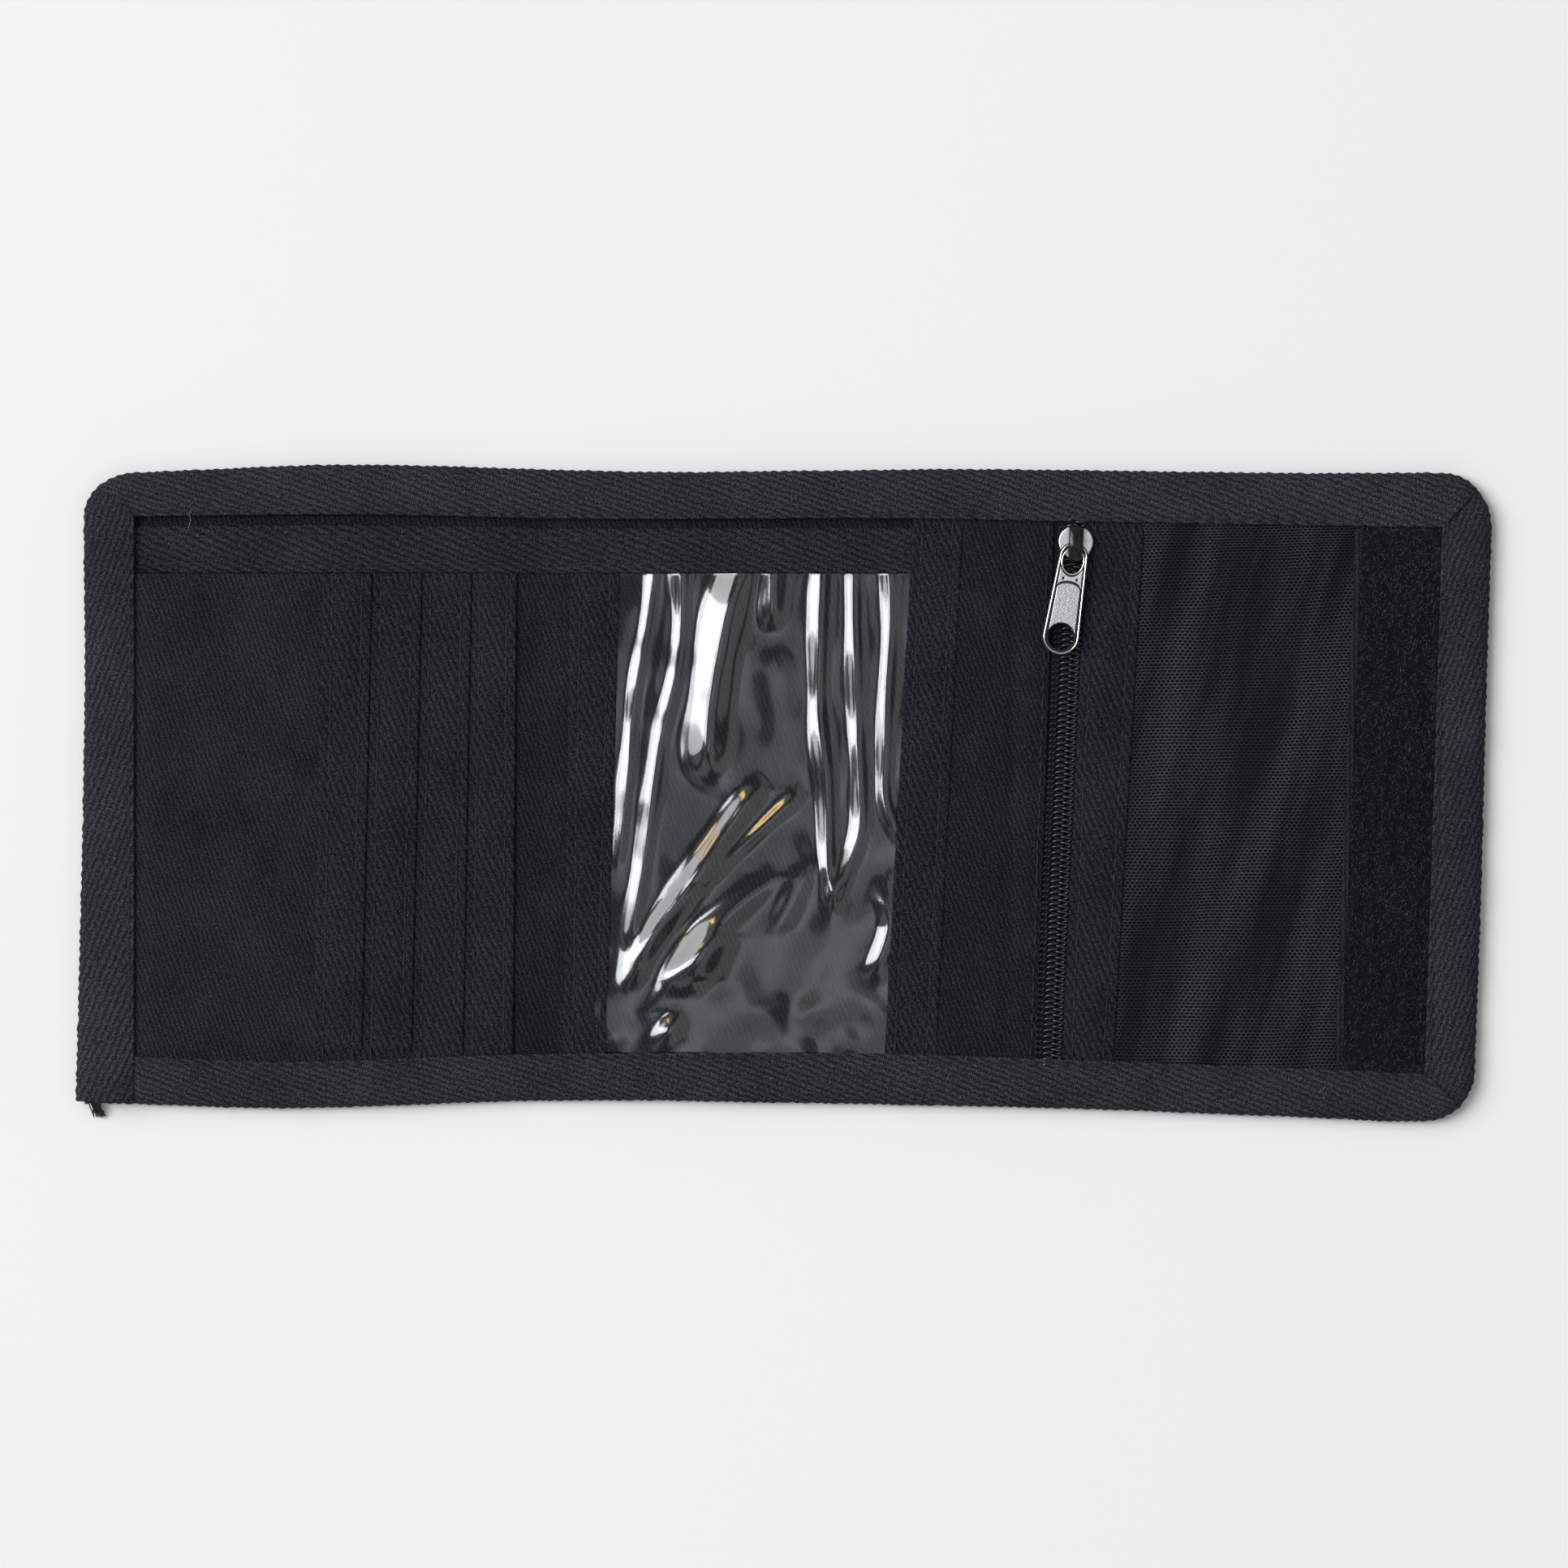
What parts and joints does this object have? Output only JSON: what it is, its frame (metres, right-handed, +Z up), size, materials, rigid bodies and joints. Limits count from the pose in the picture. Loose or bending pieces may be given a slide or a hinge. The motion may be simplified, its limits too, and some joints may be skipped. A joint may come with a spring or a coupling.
{
  "type": "trifold wallet",
  "caption": "Open trifold cloth wallet with stepped card pockets, clear card window, banknote compartment, zipped coin pocket and a hook-and-loop closing strip.",
  "frame": {"origin": "centre of the open wallet's bounding box, on the surface that it rests on", "axes": "+X along the open wallet towards the zipped panel, +Y across it towards the banknote compartment's mouth, +Z up from the inner face"},
  "size_m": [0.2692, 0.124, 0.0065],
  "materials": {
    "twill": "black polyester twill",
    "lining": "black plain-weave nylon",
    "tape": "black twill tape",
    "stiffener": "thin non-woven interlining",
    "clear_pvc": "clear soft film, wrinkled",
    "coil": "black monofilament coil",
    "hook_and_loop": "black hook-and-loop tape",
    "slider_metal": "polished light grey metal with a dark bail",
    "puller_metal": "silver with a fine hammered face"
  },
  "bodies": {
    "centre": {"outer_shell_centre": "twill", "stiffener_centre": "stiffener", "back_lining_centre": "lining", "banknote_pocket_centre": "twill", "banknote_tape_centre": "tape", "id_window": "clear_pvc", "window_tape": "tape", "join_tape": "tape", "zip_panel_centre": "twill", "binding_top_centre": "tape", "binding_bottom_centre": "tape"},
    "left_spine": {"outer_shell_left_spine": "twill", "back_lining_left_spine": "lining", "banknote_pocket_left_spine": "twill", "banknote_tape_left_spine": "tape", "binding_top_left_spine": "tape", "binding_bottom_left_spine": "tape"},
    "left_panel": {"outer_shell_left": "twill", "stiffener_left": "stiffener", "back_lining_left": "lining", "banknote_pocket_left": "twill", "banknote_tape_left": "tape", "card_pocket_1": "twill", "card_pocket_2": "twill", "card_pocket_3": "twill", "card_pocket_4": "twill", "card_tape_1": "tape", "card_tape_2": "tape", "card_tape_3": "tape", "card_tape_4": "tape", "binding_left": "tape", "binding_top_left": "tape", "binding_bottom_left": "tape", "hook_strip": "hook_and_loop"},
    "right_panel": {"outer_shell_right": "twill", "stiffener_right": "stiffener", "back_lining_right": "lining", "zip_panel_right": "twill", "zipper_tape_left": "tape", "zipper_tape_right": "tape", "zipper_coil_left": "coil", "zipper_coil_right": "coil", "zip_edge_tape": "tape", "coin_pocket_front": "lining", "loop_strip": "hook_and_loop", "binding_right": "tape", "binding_top_right": "tape", "binding_bottom_right": "tape"},
    "slider": {"slider_body": "slider_metal"},
    "puller": {"zip_puller": "puller_metal"}
  },
  "joints": [
    {"name": "left_spine_fold", "type": "hinge", "parent": "centre", "child": "left_spine", "pos_m": [-0.0434, 0, 0.0014], "axis": [0, 1, 0], "range_deg": [0, 90]},
    {"name": "left_panel_fold", "type": "hinge", "parent": "left_spine", "child": "left_panel", "pos_m": [-0.0496, 0, 0.0014], "axis": [0, 1, 0], "range_deg": [0, 90]},
    {"name": "right_fold", "type": "hinge", "parent": "centre", "child": "right_panel", "pos_m": [0.0425, 0, 0.00795], "axis": [0, -1, 0], "range_deg": [0, 179.9]},
    {"name": "zip_slide", "type": "slide", "parent": "right_panel", "child": "slider", "axis": [-0.0451, -0.999, 0], "range_m": [0, 0.092]},
    {"name": "puller_lift", "type": "hinge", "parent": "slider", "child": "puller", "pos_m": [0.0555, 0.047, 0.0052], "axis": [0.9874, -0.1582, 0], "range_deg": [-165, 0]}
  ]
}
